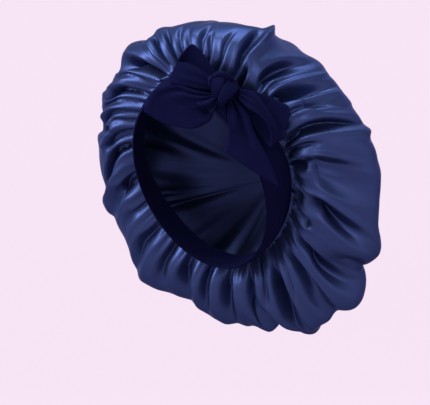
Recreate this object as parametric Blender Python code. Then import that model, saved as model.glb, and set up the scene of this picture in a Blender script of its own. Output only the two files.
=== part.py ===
"""A satin sleep bonnet in the shape it has while it is worn: a puffed, gathered satin crown
on a wide jersey band, tied in a bow near the top at one side.

Metres, +Z up. The opening looks along -Y and leans down, and the bow sits on the +X side.
The origin is the middle of the band's loop.
"""

import math

import bmesh
import bpy
import numpy as np
from mathutils import Vector
from mathutils.bvhtree import BVHTree

# Sizes that can be set one by one.
OPENING_WIDTH = 0.158  # across the band's front edge, from side to side
OPENING_LENGTH = 0.236  # along the band's front edge, from top to bottom
OPENING_TILT = math.radians(33)  # how far the opening leans back from upright
BAND_REACH = 0.038  # from the front edge back to the seam
BAND_FLARE = 0.018  # how much further out the seam lies than the front edge
BAND_BULGE = 0.003
BAND_WALL = 0.0024
CROWN_WALL = 0.0016
RIM_WIDTH = 0.372
RIM_TOP = 0.184  # the rim's top above the origin
RIM_DROP = 0.187  # the rim's lowest point below the origin
RIM_TOP_BACK = 0.035  # how far behind the origin the rim's top lies
RIM_DROP_BACK = 0.128  # how far behind the origin the rim's lowest point lies
CROWN_BACK = 0.196  # the middle of the back, behind the origin
FOLD_DEPTH = 0.012
SEAM_RISE = 0.004  # how far the satin stands out before it billows
RIBBON_WIDTH = 0.050
RIBBON_WALL = 0.002
BOW_ANGLE = math.radians(33.5)  # where round the band the knot sits, from its top
BOW_SHARE = 0.75  # how far the knot sits from the front edge towards the seam
BOW_TURN = math.radians(28)  # how far the bow faces round towards +X
GAP = 0.0004
RIBBON_GAP = 0.0015  # extra room between the ribbon and the band or the satin

SEAM_ROUNDNESS = 1.75  # 2 is a true ellipse, less is more pointed
RIM_ALONG = 0.36
BAND_COLUMNS = 80
BAND_ROWS = 4

# Sections from the seam to the rim. Each value is a share of the way from the seam to the
# rim: across the width, up at the top, down at the bottom, and back at the top and bottom.
FRONT_SECTIONS = (
    # along, width, top_up, bottom_down, top_back, bottom_back
    (0.06, 0.21, 0.30, 0.27, -0.11, -0.27),
    (0.13, 0.46, 0.63, 0.53, -0.05, -0.22),
    (0.22, 0.71, 0.90, 0.80, 0.29, 0.18),
)
# Sections from the rim to the middle of the back: the share of the rim's size that is left,
# and the share of the way back from the rim.
BACK_SECTIONS = (
    # along, width, top_up, bottom_down, top_back, bottom_back
    (0.52, 0.89, 0.91, 0.89, 0.42, 0.47),
    (0.70, 0.70, 0.67, 0.67, 0.73, 0.77),
    (0.86, 0.40, 0.35, 0.36, 0.91, 0.95),
)
# How far the satin billows out at each angle round the opening, as a share of the rim.
# Angles run from the top at 0 over the +X side at 90 to the bottom at 180.
REACH = (
    # angle, share
    (0, 0.97), (15, 0.975), (30, 0.945), (45, 0.935), (60, 0.925), (75, 0.95),
    (90, 0.968), (105, 0.965), (120, 1.045), (135, 1.12), (150, 1.075), (165, 1.075),
    (180, 0.985), (195, 1.0), (210, 0.95), (225, 1.06), (240, 1.0), (255, 1.025),
    (270, 1.0), (285, 1.005), (300, 1.03), (315, 0.995), (330, 1.04), (345, 0.98),
)
# Folds round the crown, in order. Each is a valley: its angle at the seam, a little way up
# and at its tip, the shares along the wall where it starts and ends, how many degrees it
# spreads to lower and to higher angles, and its depth as a share of FOLD_DEPTH.
FOLDS = (
    # seam, middle, tip, start, end, lower, higher, depth
    (8, 2, -2, 0.02, 0.22, 3.0, 3.0, 0.6),
    (19, 14, 11, 0.02, 0.20, 3.0, 3.0, 0.6),
    (27, 22, 20, 0.02, 0.25, 2.6, 3.0, 0.8),
    (35, 32, 30, 0.01, 0.24, 3.0, 3.0, 0.7),
    (45, 43, 41, 0.02, 0.36, 3.2, 4.0, 1.0),
    (60, 58, 56, 0.02, 0.35, 4.4, 3.4, 1.4),
    (72, 73, 71, 0.01, 0.42, 4.0, 1.8, 1.5),
    (86, 86, 88, 0.02, 0.34, 1.8, 7.0, 1.1),
    (101, 105, 112, 0.02, 0.38, 2.0, 6.5, 1.2),
    (117, 118, 125, 0.02, 0.56, 3.0, 3.4, 1.1),
    (125, 129, 135, 0.02, 0.50, 2.0, 3.4, 1.0),
    (137, 142, 149, 0.03, 0.46, 4.0, 5.0, 1.3),
    (153, 158, 167, 0.02, 0.56, 5.0, 4.5, 1.6),
    (170, 172, 177, 0.02, 0.44, 4.0, 4.0, 0.9),
    (185, 186, 188, 0.02, 0.52, 4.5, 4.0, 1.2),
    (198, 198, 199, 0.02, 0.38, 4.0, 4.0, 0.9),
    (211, 210, 209, 0.02, 0.50, 4.0, 4.5, 1.3),
    (223, 222, 221, 0.02, 0.36, 4.0, 4.0, 0.9),
    (236, 234, 232, 0.02, 0.48, 4.5, 4.0, 1.2),
    (248, 247, 247, 0.02, 0.50, 4.0, 4.0, 1.1),
    (261, 258, 255, 0.02, 0.50, 4.0, 4.5, 1.2),
    (274, 270, 266, 0.02, 0.34, 4.0, 4.0, 0.8),
    (287, 281, 278, 0.02, 0.44, 4.5, 3.5, 0.7),
    (300, 292, 290, 0.02, 0.50, 4.0, 3.0, 1.4),
    (310, 299, 298, 0.02, 0.38, 2.2, 1.8, 0.9),
    (317, 304, 303, 0.02, 0.38, 2.0, 3.0, 1.1),
    (325, 316, 313, 0.05, 0.48, 3.5, 3.5, 1.0),
    (340, 329, 321, 0.02, 0.48, 5.0, 4.0, 1.6),
    (349, 340, 335, 0.03, 0.42, 3.0, 3.0, 0.9),
    (357, 350, 344, 0.02, 0.38, 3.0, 3.0, 0.9),
)
CROWN_ROWS = (
    0.0, 0.03, 0.06, 0.10, 0.14, 0.18, 0.23, 0.28, 0.33, 0.38, 0.44, 0.51, 0.60, 0.70, 0.81,
    0.92, 1.0,
)

# The bow, seen from in front of it: across, up and out from the knot's middle, all in
# shares of RIBBON_WIDTH.
KNOT_OUTLINE = (
    # angle, distance
    (7, 0.32), (56, 0.33), (91, 0.39), (133, 0.40), (170, 0.28), (230, 0.26), (261, 0.40),
    (286, 0.34), (340, 0.34),
)
KNOT_HEIGHT = 0.30
# Each piece of ribbon as cross lines from the knot onward: the two ends of each line.
LOOP_FRONT = (
    # across, up, out, across, up, out
    (-0.21, -0.04, 0.18, -0.19, 0.20, 0.16),
    (-0.53, -0.01, 0.32, -0.53, 0.43, 0.30),
    (-0.92, 0.05, 0.38, -0.80, 0.58, 0.34),
    (-1.19, 0.15, 0.28, -1.02, 0.62, 0.28),
    (-1.24, 0.20, 0.12, -0.87, 0.85, 0.10),
    (-1.12, 0.24, -0.04, -0.69, 0.98, -0.04),
    (-0.71, 0.12, 0.02, -0.41, 0.73, -0.02),
    (-0.22, 0.03, 0.00, -0.14, 0.30, -0.04),
)
LOOP_SIDE = (
    (0.22, -0.14, 0.12, 0.24, 0.02, 0.10),
    (0.51, -0.44, 0.30, 0.64, -0.09, 0.30),
    (0.78, -0.61, 0.34, 0.85, -0.32, 0.34),
    (0.99, -0.90, 0.30, 1.10, -0.70, 0.30),
    (1.03, -1.24, 0.14, 1.30, -1.08, 0.14),
    (0.95, -1.25, -0.02, 1.44, -0.46, -0.04),
    (0.80, -1.05, -0.06, 1.22, -0.27, -0.08),
    (0.45, -0.52, 0.02, 0.72, -0.06, -0.04),
    (0.26, -0.20, 0.02, 0.24, 0.04, -0.04),
)
TAIL_FRONT = (
    (-0.11, -0.20, 0.02, -0.17, -0.11, 0.00),
    (-0.24, -0.53, 0.08, -0.55, -0.06, 0.06),
    (-0.32, -0.70, 0.06, -0.84, -0.01, 0.02),
    (-0.43, -0.77, 0.04, -1.05, 0.01, 0.02),
    (-0.56, -0.84, 0.02, -1.42, -0.21, 0.02),
    (-0.71, -0.88, 0.02, -1.69, -0.58, 0.02),
)
TAIL_SIDE = (
    (0.05, -0.22, 0.08, 0.20, -0.16, 0.06),
    (0.09, -0.60, 0.16, 0.53, -0.55, 0.12),
    (0.11, -0.80, 0.14, 0.67, -0.92, 0.12),
    (0.10, -1.00, 0.12, 0.85, -1.27, 0.10),
    (0.06, -1.20, 0.10, 1.04, -1.66, 0.08),
    (0.01, -1.38, 0.10, 1.23, -2.18, 0.08),
)
RIBBON_COLUMNS = 6
RIBBON_STEPS = 2


def smooth(x):
    x = np.clip(x, 0.0, 1.0)
    return x * x * (3 - 2 * x)


def opening_axes():
    """The directions across the opening, up its length, and in through it."""
    across = np.array([1.0, 0.0, 0.0])
    up = np.array([0.0, -math.sin(OPENING_TILT), math.cos(OPENING_TILT)])
    inward = np.array([0.0, math.cos(OPENING_TILT), math.sin(OPENING_TILT)])
    return across, up, inward


def rounded(angle, roundness):
    """Cosine and sine of an egg-like ring instead of a circle."""
    power = 2 / roundness
    c, s = np.cos(angle), np.sin(angle)
    return np.sign(c) * np.abs(c) ** power, np.sign(s) * np.abs(s) ** power


def band_ring(angle, share, lift=0.0):
    """Points round the band, share 0 at the front edge and 1 at the seam, moved out by lift."""
    across, up, inward = opening_axes()
    out = BAND_FLARE * share + BAND_BULGE * math.sin(math.pi * share) + lift
    out_up = BAND_FLARE / 2 * share + BAND_BULGE * math.sin(math.pi * share) + lift
    c, s = rounded(angle, 2 - (2 - SEAM_ROUNDNESS) * share)
    return (
        inward * BAND_REACH * (share - 0.5)
        + np.outer(s * (OPENING_WIDTH / 2 + out), across)
        + np.outer(c * (OPENING_LENGTH / 2 + out_up), up)
    )


def ring(angle, top, bottom, half_width):
    """An ellipse from its top and bottom points on the middle plane, and its half width."""
    middle = (top + bottom) / 2
    return (
        middle
        + np.cos(angle)[:, None] * (top - bottom) / 2
        + np.outer(np.sin(angle) * half_width, [1.0, 0.0, 0.0])
    )


def crown_rings(angle):
    """The places along the wall of the crown's sections, and their rings of points."""
    inward = opening_axes()[2]
    seam = band_ring(angle, 1.0) + inward * GAP
    lead = band_ring(angle, 1.0, SEAM_RISE) + inward * (GAP + SEAM_RISE)
    seam_top, seam_bottom = band_ring(np.array([0.0, math.pi]), 1.0)
    seam_half = OPENING_WIDTH / 2 + BAND_FLARE
    rim_top = np.array([0.0, RIM_TOP_BACK, RIM_TOP])
    rim_bottom = np.array([0.0, RIM_DROP_BACK, -RIM_DROP])
    back = np.array([0.0, CROWN_BACK, 0.0])
    places, rings = [0.0, 0.02], [seam, lead]
    for along, width, top_up, bottom_down, top_back, bottom_back in FRONT_SECTIONS:
        top = seam_top + (rim_top - seam_top) * [0, top_back, top_up]
        bottom = seam_bottom + (rim_bottom - seam_bottom) * [0, bottom_back, bottom_down]
        places.append(along)
        rings.append(ring(angle, top, bottom, seam_half + (RIM_WIDTH / 2 - seam_half) * width))
    places.append(RIM_ALONG)
    rings.append(ring(angle, rim_top, rim_bottom, RIM_WIDTH / 2))
    for along, width, top_up, bottom_down, top_back, bottom_back in BACK_SECTIONS:
        top = rim_top * [0, 1 - top_back, top_up] + back * top_back
        bottom = rim_bottom * [0, 1 - bottom_back, bottom_down] + back * bottom_back
        places.append(along)
        rings.append(ring(angle, top, bottom, RIM_WIDTH / 2 * width))
    places.append(1.0)
    rings.append(np.tile(back, (len(angle), 1)))
    return np.array(places), np.array(rings)


def along_curve(places, points, place):
    """A smooth curve through the points, read at one place."""
    slopes = np.gradient(points, places, axis=0)
    i = min(int(np.searchsorted(places, place, side="right")) - 1, len(places) - 2)
    i = max(i, 0)
    span = places[i + 1] - places[i]
    t = (place - places[i]) / span
    return (
        (2 * t**3 - 3 * t**2 + 1) * points[i]
        + (t**3 - 2 * t**2 + t) * span * slopes[i]
        + (3 * t**2 - 2 * t**3) * points[i + 1]
        + (t**3 - t**2) * span * slopes[i + 1]
    )


def reach(angle):
    degrees, share = np.array(REACH, float).T
    degrees = np.concatenate([degrees - 360, degrees, degrees + 360])
    here = np.degrees(angle)[:, None] + np.linspace(-9, 9, 13)
    return np.interp(here, degrees, np.tile(share, 3)).mean(1)


def crown_base(angle, along):
    """One smooth ring of the crown, billowed but without its folds."""
    points = along_curve(*crown_rings(angle), along)
    middle = points.mean(0)
    return middle + (points - middle) * (1 + (reach(angle) - 1) * smooth(along / 0.25))[:, None]


def fold_columns(along):
    """The angles of the columns at this place along the wall, and how deep each one lies."""
    folds = np.array(FOLDS, float)
    seam, middle, tip, start, end, lower, higher, depth = folds.T
    t = np.clip((along - start) / (end - start), 0, 1)
    way = np.clip(along / 0.15, 0, 1)
    further = np.clip((along - 0.15) / np.maximum(end - 0.15, 0.05), 0, 1)
    bottom = seam + (middle - seam) * smooth(way) + (tip - middle) * smooth(further)
    room = np.roll(bottom, -1) - bottom
    room[-1] += 360
    spread = 0.5 + 0.5 * np.sin(math.pi * t) ** 0.5
    low = np.minimum(lower * spread, 0.42 * np.roll(room, 1))
    high = np.minimum(higher * spread, 0.42 * room)
    angle = np.stack([bottom - low, bottom, bottom + high], 1).ravel()
    deep = depth * smooth(t / 0.2) * smooth((1 - t) / 0.7)
    depths = np.stack([deep * 0, deep, deep * 0], 1).ravel()
    return np.radians(angle), depths * FOLD_DEPTH


def crown_walls():
    """The outer and inner points of the crown, row by row from the seam to the back."""
    outer, inner = [], []
    for along in CROWN_ROWS[:-1]:
        angle, depth = fold_columns(along)
        here = crown_base(angle, along)
        round_way = crown_base(angle + 0.02, along) - crown_base(angle - 0.02, along)
        low, high = max(along - 0.004, 0.0), min(along + 0.004, 1.0)
        back_way = crown_base(angle, high) - crown_base(angle, low)
        outward = np.cross(round_way, back_way)
        outward /= np.linalg.norm(outward, axis=1, keepdims=True)
        if along == 0:
            here = band_ring(angle, 1.0) + opening_axes()[2] * GAP
            outward = band_ring(angle, 1.0, 1.0) - band_ring(angle, 1.0)
            outward /= np.linalg.norm(outward, axis=1, keepdims=True)
        outer.append(here - outward * depth[:, None] + outward * CROWN_WALL / 2)
        inner.append(here - outward * depth[:, None] - outward * CROWN_WALL / 2)
    return np.array(outer), np.array(inner)


def material(name, colour, roughness):
    made = bpy.data.materials.new(name)
    made.use_nodes = True
    shader = made.node_tree.nodes["Principled BSDF"]
    shader.inputs["Base Color"].default_value = (*colour, 1)
    shader.inputs["Roughness"].default_value = roughness
    return made


def add_object(name, points, faces, look):
    mesh = bpy.data.meshes.new(name)
    mesh.from_pydata([tuple(map(float, p)) for p in points], [], faces)
    shape = bmesh.new()
    shape.from_mesh(mesh)
    bmesh.ops.triangulate(shape, faces=shape.faces)
    bmesh.ops.recalc_face_normals(shape, faces=shape.faces)
    shape.to_mesh(mesh)
    shape.free()
    mesh.materials.append(look)
    made = bpy.data.objects.new(name, mesh)
    bpy.context.scene.collection.objects.link(made)
    return made


def wall_between(outer, inner, closed_end):
    """Faces of a closed wall between two grids of points that run round in rings."""
    rows, columns = outer.shape[:2]
    faces = []

    def at(side, row, column):
        return side * rows * columns + row * columns + column % columns

    for row in range(rows - 1):
        for column in range(columns):
            for side in (0, 1):
                face = [
                    at(side, row, column), at(side, row, column + 1),
                    at(side, row + 1, column + 1), at(side, row + 1, column),
                ]
                faces.append(face if side else face[::-1])
    ends = [0] if closed_end else [0, rows - 1]
    for row in ends:
        for column in range(columns):
            faces.append([
                at(0, row, column), at(0, row, column + 1),
                at(1, row, column + 1), at(1, row, column),
            ])
    points = np.concatenate([outer.reshape(-1, 3), inner.reshape(-1, 3)])
    if closed_end:
        tip = len(points)
        points = np.concatenate([points, closed_end])
        for side in (0, 1):
            for column in range(columns):
                faces.append([
                    at(side, rows - 1, column), at(side, rows - 1, column + 1), tip + side
                ])
    return points, faces


def build_crown():
    outer, inner = crown_walls()
    back = np.array([0.0, CROWN_BACK, 0.0])
    half = np.array([0.0, CROWN_WALL / 2, 0.0])
    points, faces = wall_between(outer, inner, [back + half, back - half])
    return add_object("crown", points, faces, material("satin", (0.045, 0.065, 0.26), 0.35))


def build_band():
    angle = np.linspace(0, 2 * math.pi, BAND_COLUMNS, endpoint=False)
    shares = np.linspace(0, 1, BAND_ROWS + 1)
    outer = np.array([band_ring(angle, s, BAND_WALL / 2) for s in shares])
    inner = np.array([band_ring(angle, s, -BAND_WALL / 2) for s in shares])
    points, faces = wall_between(outer, inner, None)
    return add_object("band", points, faces, material("jersey", (0.006, 0.007, 0.035), 0.85))


def bow_axes():
    """Across, up and out for someone who looks straight at the bow."""
    c, s = math.cos(BOW_TURN), math.sin(BOW_TURN)
    return np.array([c, s, 0.0]), np.array([0.0, 0.0, 1.0]), np.array([s, -c, 0.0])


def bow_place():
    """The spot on the band's outer face that the knot sits on."""
    return band_ring(np.array([BOW_ANGLE]), BOW_SHARE, BAND_WALL / 2)[0]


def tree_of(made):
    return BVHTree.FromObject(made, bpy.context.evaluated_depsgraph_get())


def lift_clear(points, trees, way, need):
    """Move points along way until each one is at least need away from every tree."""
    moved = []
    for point in points:
        here = Vector(point)
        for tree in trees:
            far = here + Vector(way) * 0.3
            hit = tree.ray_cast(far, -Vector(way), 0.3)
            if hit[0] is not None and (hit[0] - here).dot(Vector(way)) > 0:
                if (hit[0] - here).length < 0.06:
                    here = hit[0] + Vector(way) * need
        for _ in range(12):
            short = 0.0
            for tree in trees:
                distance = tree.find_nearest(here)[3]
                short = max(short, need - distance)
            if short <= 0:
                break
            here = here + Vector(way) * (short + 0.0001)
        moved.append(tuple(here))
    return np.array(moved)


def widened(lift):
    """Carry each lift over to the neighbours on the grid, so that no facet cuts a corner."""
    padded = np.pad(lift, 1, mode="edge")
    rows, columns = lift.shape
    shifted = [
        padded[i:i + rows, j:j + columns] * (1.0 if i == j == 1 else 0.96)
        for i in range(3) for j in range(3)
    ]
    return np.max(shifted, axis=0)


def build_knot(trees):
    across, up, out = bow_axes()
    size = RIBBON_WIDTH
    angles, distances = np.array(KNOT_OUTLINE, float).T
    angle = np.linspace(0, 360, 24, endpoint=False)
    wrapped = np.concatenate([angles - 360, angles, angles + 360])
    outline = np.interp(angle, wrapped, np.tile(distances, 3)) * size
    turn = np.radians(angle)
    flat = np.outer(np.cos(turn) * outline, across) + np.outer(np.sin(turn) * outline, up)
    base = bow_place() + out * KNOT_HEIGHT * size * 0.45
    rows = []
    for lean in np.radians([-66, -44, -22, 0, 22, 44, 66]):
        rows.append(base + flat * math.cos(lean) + out * math.sin(lean) * KNOT_HEIGHT * size)
    rows = np.array(rows)
    front = base + out * KNOT_HEIGHT * size
    behind = base - out * KNOT_HEIGHT * size
    points = np.concatenate([rows.reshape(-1, 3), [front, behind]])
    points = lift_clear(points, trees, out, GAP)
    count, columns = rows.shape[:2]
    faces = []
    for row in range(count - 1):
        for column in range(columns):
            after = (column + 1) % columns
            faces.append([
                row * columns + column, row * columns + after,
                (row + 1) * columns + after, (row + 1) * columns + column,
            ])
    for column in range(columns):
        after = (column + 1) % columns
        top = (count - 1) * columns
        faces.append([top + column, top + after, count * columns])
        faces.append([after, column, count * columns + 1])
    return add_object("bow_knot", points, faces, material("knot_jersey", (0.006, 0.007, 0.035), 0.85))


def ribbon_grid(table):
    """A smooth sheet through the cross lines of one piece of ribbon."""
    across, up, out = bow_axes()
    rows = np.array(table, float) * RIBBON_WIDTH
    ends = []
    for part in (rows[:, :3], rows[:, 3:]):
        ends.append(
            bow_place() + part[:, :1] * across + part[:, 1:2] * up
            + (part[:, 2:] + KNOT_HEIGHT * RIBBON_WIDTH * 0.4) * out
        )
    places = np.arange(len(rows), dtype=float)
    read = np.linspace(0, len(rows) - 1, (len(rows) - 1) * RIBBON_STEPS + 1)
    first = np.array([along_curve(places, ends[0], place) for place in read])
    second = np.array([along_curve(places, ends[1], place) for place in read])
    share = np.linspace(0, 1, RIBBON_COLUMNS + 1)[None, :, None]
    return first[:, None] * (1 - share) + second[:, None] * share


def build_ribbon(name, table, trees, knot):
    across, up, out = bow_axes()
    grid = ribbon_grid(table)
    rows, columns = grid.shape[:2]
    need = RIBBON_WALL / 2 + GAP
    raised = lift_clear(grid.reshape(-1, 3), trees, out, need + RIBBON_GAP)
    grid = grid + widened((raised.reshape(grid.shape) - grid) @ out)[:, :, None] * out
    points = grid.reshape(-1, 3)
    away = points - bow_place()
    away /= np.linalg.norm(away, axis=1, keepdims=True)
    points = np.array([lift_clear([p], [knot], way, need)[0] for p, way in zip(points, away)])
    grid = points.reshape(rows, columns, 3)
    raised = lift_clear(points, trees, out, need + RIBBON_GAP)
    grid = grid + widened((raised.reshape(grid.shape) - grid) @ out)[:, :, None] * out
    normal = np.cross(np.gradient(grid, axis=0), np.gradient(grid, axis=1))
    normal /= np.linalg.norm(normal, axis=2, keepdims=True)
    one = grid + normal * RIBBON_WALL / 2
    other = grid - normal * RIBBON_WALL / 2
    points = np.concatenate([one.reshape(-1, 3), other.reshape(-1, 3)])
    count = rows * columns
    faces = []
    for row in range(rows - 1):
        for column in range(columns - 1):
            a = row * columns + column
            face = [a, a + 1, a + columns + 1, a + columns]
            faces.append(face)
            faces.append([count + i for i in face[::-1]])
    edge = [column for column in range(columns)]
    edge += [row * columns + columns - 1 for row in range(1, rows)]
    edge += [(rows - 1) * columns + column for column in range(columns - 2, -1, -1)]
    edge += [row * columns for row in range(rows - 2, 0, -1)]
    for i, a in enumerate(edge):
        b = edge[(i + 1) % len(edge)]
        faces.append([b, a, count + a, count + b])
    look = material(name + "_jersey", (0.006, 0.007, 0.035), 0.85)
    return add_object(name, points, faces, look)


def main():
    for made in list(bpy.data.objects):
        bpy.data.objects.remove(made, do_unlink=True)
    band = build_band()
    crown = build_crown()
    trees = [tree_of(band), tree_of(crown)]
    knot = tree_of(build_knot(trees))
    build_ribbon("bow_tail_front", TAIL_FRONT, trees, knot)
    build_ribbon("bow_tail_side", TAIL_SIDE, trees, knot)
    build_ribbon("bow_loop_front", LOOP_FRONT, trees, knot)
    build_ribbon("bow_loop_side", LOOP_SIDE, trees, knot)


main()
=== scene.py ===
"""The looks of a satin sleep bonnet with a jersey band tied in a bow.

Metres, +Z up. The opening looks along -Y and down, and +X is the side the bow sits on. The
origin is the middle of the band's loop.
"""

import math

import bpy
import numpy as np
from bpy.props import FloatProperty, FloatVectorProperty, IntProperty, PointerProperty
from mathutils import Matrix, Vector
from mathutils.bvhtree import BVHTree


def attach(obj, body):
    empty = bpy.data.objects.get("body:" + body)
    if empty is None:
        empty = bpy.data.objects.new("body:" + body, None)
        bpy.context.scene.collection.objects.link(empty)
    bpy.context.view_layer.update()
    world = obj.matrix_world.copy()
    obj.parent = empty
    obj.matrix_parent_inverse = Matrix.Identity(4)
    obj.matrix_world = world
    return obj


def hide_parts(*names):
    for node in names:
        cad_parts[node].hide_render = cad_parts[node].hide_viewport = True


bl_info = {
    "name": "Satin sleep bonnet",
    "version": (1, 0, 0),
    "blender": (4, 5, 0),
    "location": "3D View > Sidebar > Bonnet",
    "description": "Builds a gathered satin sleep bonnet on a jersey band with a bow",
    "category": "Object",
}

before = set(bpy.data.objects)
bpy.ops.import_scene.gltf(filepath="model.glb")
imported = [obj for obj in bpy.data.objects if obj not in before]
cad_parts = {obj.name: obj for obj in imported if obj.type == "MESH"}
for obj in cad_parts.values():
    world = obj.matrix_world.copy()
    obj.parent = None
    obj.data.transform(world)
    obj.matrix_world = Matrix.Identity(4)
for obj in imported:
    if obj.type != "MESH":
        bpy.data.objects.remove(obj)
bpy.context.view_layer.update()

# The crown's form. Its wall runs from the seam, 0, over its widest ring, the rim, to the
# middle of the back, 1. A section has its place along the wall, its half width, how far up
# its top and how far down its bottom lie, and how far back each of them lies, as shares.
SEAM_ROUNDNESS = 1.75
RIM_ALONG = 0.36
FRONT_SECTIONS = (
    # along, width, top_up, bottom_down, top_back, bottom_back
    (0.06, 0.21, 0.30, 0.27, -0.06, -0.10),
    (0.13, 0.46, 0.63, 0.53, -0.02, -0.10),
    (0.22, 0.71, 0.90, 0.80, 0.29, 0.20),
)
BACK_SECTIONS = (
    # along, width, top_up, bottom_down, top_back, bottom_back
    (0.52, 0.89, 0.91, 0.89, 0.42, 0.47),
    (0.70, 0.70, 0.67, 0.67, 0.73, 0.77),
    (0.86, 0.40, 0.35, 0.36, 0.91, 0.95),
)
# How far the billowing satin reaches at every 5 degrees from the top.
REACH = (
    0.943, 0.953, 0.957, 0.968, 0.985, 0.985, 0.952, 0.931, 0.918, 0.874, 0.87, 0.87,
    0.902, 0.93, 0.955, 0.907, 0.925, 0.919, 0.935, 0.941, 0.937, 0.942, 0.959, 1.029,
    1.055, 0.955, 0.908, 1.013, 1.091, 1.018, 1.05, 1.082, 1.108, 1.079, 0.87, 1.052,
    0.943, 0.982, 0.992, 0.99, 0.981, 0.973, 0.976, 0.963, 0.97, 1.035, 1.094, 1.081,
    1.002, 0.972, 0.971, 0.979, 1.014, 0.969, 0.996, 0.991, 0.992, 1.022, 0.963, 0.996,
    1.069, 0.974, 0.989, 0.959, 1.025, 1.041, 1, 0.949, 1.006, 0.97, 0.967, 0.964,
)
# Valleys between the gathers: the angle at the seam, a little way up and at the tip, the
# shares along the wall where each starts and ends, how many degrees it spreads to lower and
# to higher angles, its depth as a share of the fold depth, and how round its bottom is.
VALLEYS = (
    # seam, middle, tip, start, end, lower, higher, depth, round
    (3, -3, -6, 0.01, 0.24, 2.0, 2.2, 0.6, 0.1),
    (8, 3, -1, 0.01, 0.20, 1.8, 1.6, 0.5, 0.1),
    (13, 9, 6, 0.01, 0.26, 2.2, 2.4, 0.8, 0.2),
    (19, 15, 12, 0.01, 0.18, 1.8, 1.6, 0.6, 0.1),
    (25, 22, 20, 0.01, 0.22, 1.8, 1.8, 0.6, 0.2),
    (35.5, 31.5, 20, 0.01, 0.42, 4.0, 1.0, 1.3, 0.4),
    (39.5, 37.5, 36, 0.005, 0.115, 2.4, 2.6, 0.9, 0.5),
    (50, 45.5, 39, 0.03, 0.44, 4.0, 2.6, 1.7, 0.5),
    (54, 50, 47.5, 0.02, 0.24, 1.8, 1.8, 0.5, 0.5),
    (57.5, 56.5, 51.5, 0.02, 0.42, 3.8, 3.2, 2.2, 0.6),
    (64.5, 64, 58, 0.05, 0.36, 1.3, 1.8, 0.4, 0.5),
    (62, 62, 61, 0.18, 0.42, 4.0, 5.0, 0.5, 0.9),
    (78, 74.5, 69, 0.01, 0.50, 4.6, 1.0, 2.0, 0.3),
    (81, 80, 79, 0.02, 0.20, 1.4, 1.4, 0.6, 0.3),
    (86.5, 86.5, 88, 0.01, 0.36, 1.2, 6.0, 1.3, 0.4),
    (91, 93, 95, 0.09, 0.42, 6.0, 8.0, 1.1, 0.9),
    (90, 90, 90, 0.004, 0.09, 2.6, 2.6, 0.7, 0.9),
    (101, 105.5, 117, 0.01, 0.40, 1.2, 9.0, 1.9, 0.6),
    (109, 109, 109, 0.004, 0.055, 2.4, 2.6, 0.6, 0.9),
    (116, 117, 117, 0.02, 0.10, 3.0, 3.4, 0.7, 0.9),
    (125, 129, 134, 0.01, 0.48, 1.2, 5.5, 1.9, 0.4),
    (122, 124, 127, 0.26, 0.52, 4.0, 1.6, 0.5, 0.3),
    (138, 142, 149, 0.02, 0.46, 4.4, 4.0, 1.5, 0.5),
    (146, 150, 156, 0.02, 0.24, 1.4, 1.6, 0.5, 0.2),
    (153, 158, 167, 0.02, 0.58, 6.0, 4.0, 2.0, 0.5),
    (163, 165, 170, 0.01, 0.22, 1.8, 2.0, 0.5, 0.2),
    (171, 173, 178, 0.02, 0.46, 4.0, 4.0, 1.2, 0.5),
    (186, 187, 189, 0.02, 0.52, 5.0, 4.6, 1.5, 0.5),
    (198, 199, 200, 0.02, 0.36, 4.0, 3.4, 1.0, 0.4),
    (211, 210, 208, 0.02, 0.54, 5.0, 5.6, 1.6, 0.5),
    (223, 222, 221, 0.02, 0.32, 3.4, 3.4, 1.0, 0.4),
    (236, 235, 233, 0.02, 0.44, 5.0, 4.0, 1.1, 0.5),
    (249, 247, 246, 0.02, 0.24, 3.0, 3.6, 0.6, 0.5),
    (262, 258, 254, 0.02, 0.34, 4.0, 4.6, 0.9, 0.6),
    (269, 262, 258, 0.02, 0.12, 3.2, 3.2, 1.0, 0.8),
    (291, 267.5, 264.5, 0.01, 0.32, 1.2, 5.0, 2.0, 0.4),
    (290, 288.5, 287, 0.08, 0.29, 3.0, 1.2, 0.8, 0.4),
    (301, 282.5, 280, 0.01, 0.15, 2.8, 2.6, 1.0, 0.6),
    (308, 296, 294, 0.01, 0.10, 2.2, 2.2, 0.6, 0.6),
    (312, 291, 290, 0.01, 0.34, 1.8, 1.8, 0.9, 0.4),
    (318, 298, 297, 0.01, 0.24, 2.4, 2.2, 0.7, 0.5),
    (325, 303, 301.5, 0.01, 0.32, 3.0, 3.2, 1.6, 0.5),
    (334, 314, 309, 0.03, 0.26, 3.0, 3.0, 0.5, 0.8),
    (343, 321.5, 317, 0.01, 0.24, 5.0, 5.5, 2.5, 0.8),
    (347, 337, 331, 0.02, 0.22, 1.6, 1.8, 0.5, 0.2),
    (351, 342, 338, 0.02, 0.25, 2.6, 2.6, 1.2, 0.4),
    (357, 350, 345, 0.01, 0.24, 2.2, 2.6, 1.1, 0.3),
)
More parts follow.
